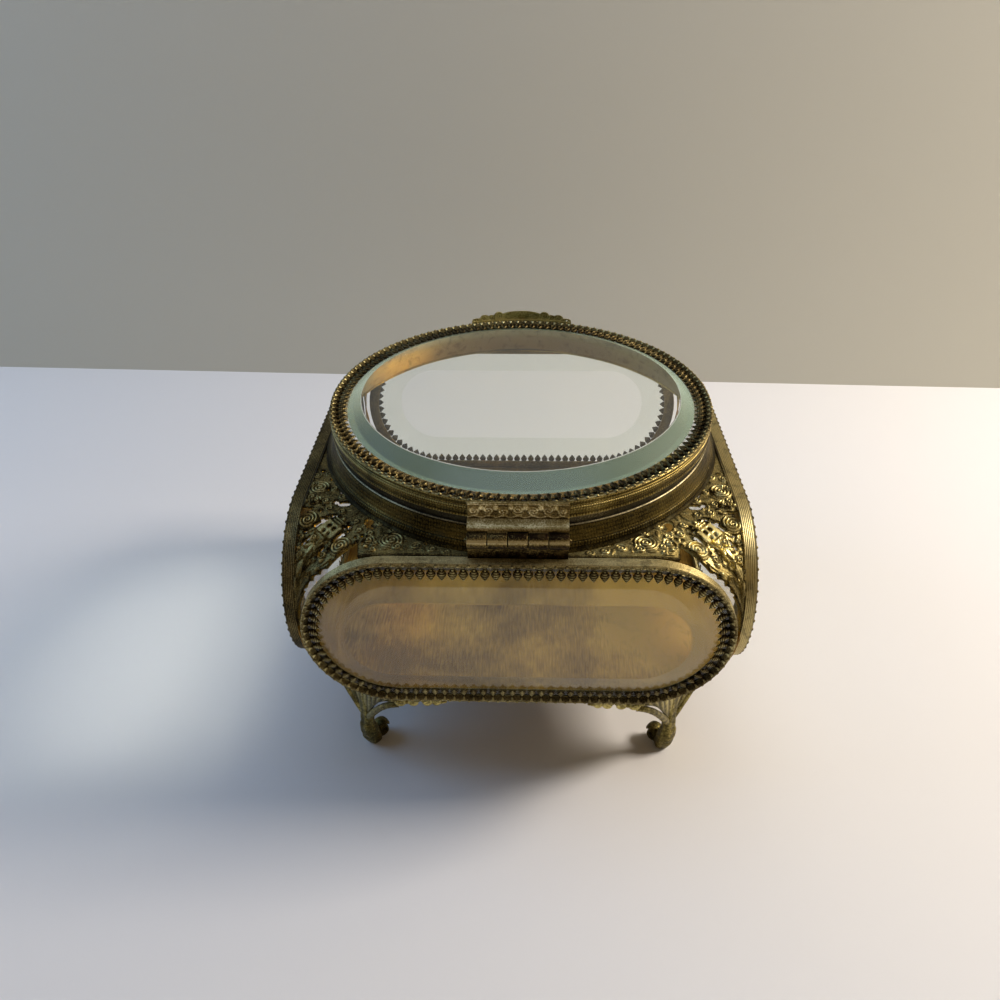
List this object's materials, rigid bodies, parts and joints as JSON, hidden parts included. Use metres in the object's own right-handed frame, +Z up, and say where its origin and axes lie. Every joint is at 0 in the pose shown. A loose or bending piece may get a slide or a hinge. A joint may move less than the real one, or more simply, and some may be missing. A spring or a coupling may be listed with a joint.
{
  "type": "glass casket box",
  "caption": "Square footed keepsake casket with oval-ended bevelled glass sides and a round bevelled glass lid on a rear hinge.",
  "frame": {"origin": "middle of the base, on the surface the feet stand on", "axes": "+Z up; the hinge is at +Y and the finger tab of the lid at -Y"},
  "size_m": [0.128, 0.128, 0.1062],
  "materials": {
    "gilt_sheet": "stamped brass sheet with worn antique gilding",
    "gilt_band": "rolled brass band with worn antique gilding",
    "bezel_band": "finely reeded brass band, aged and darkened",
    "prong_strip": "pierced brass prong strip, dark in its recesses",
    "cast_feet": "cast brass with worn antique gilding",
    "hinge_metal": "bare brass worn to a copper brown",
    "bevelled_glass": "clear polished glass with a wide ground bevel"
  },
  "bodies": {
    "casket": {"base_pan": "gilt_sheet", "shoulder": "gilt_sheet", "collar": "gilt_band", "collar_foot_ring": "gilt_band", "front_bezel": "bezel_band", "right_bezel": "bezel_band", "back_bezel": "bezel_band", "left_bezel": "bezel_band", "front_glass": "bevelled_glass", "right_glass": "bevelled_glass", "back_glass": "bevelled_glass", "left_glass": "bevelled_glass", "front_gallery": "prong_strip", "right_gallery": "prong_strip", "back_gallery": "prong_strip", "left_gallery": "prong_strip", "front_left_foot": "cast_feet", "front_right_foot": "cast_feet", "back_left_foot": "cast_feet", "back_right_foot": "cast_feet", "hinge_body_leaf": "hinge_metal", "hinge_pin": "hinge_metal"},
    "lid": {"hinge_lid_leaf": "hinge_metal", "lid_rim": "gilt_band", "lid_bead": "prong_strip", "lid_glass": "bevelled_glass", "lid_gallery": "prong_strip", "lift_tab": "gilt_sheet"}
  },
  "joints": [
    {"name": "lid_hinge", "type": "hinge", "parent": "casket", "child": "lid", "pos_m": [0, 0.0605, 0.0931], "axis": [-1, 0, 0], "range_deg": [0, 100]}
  ]
}
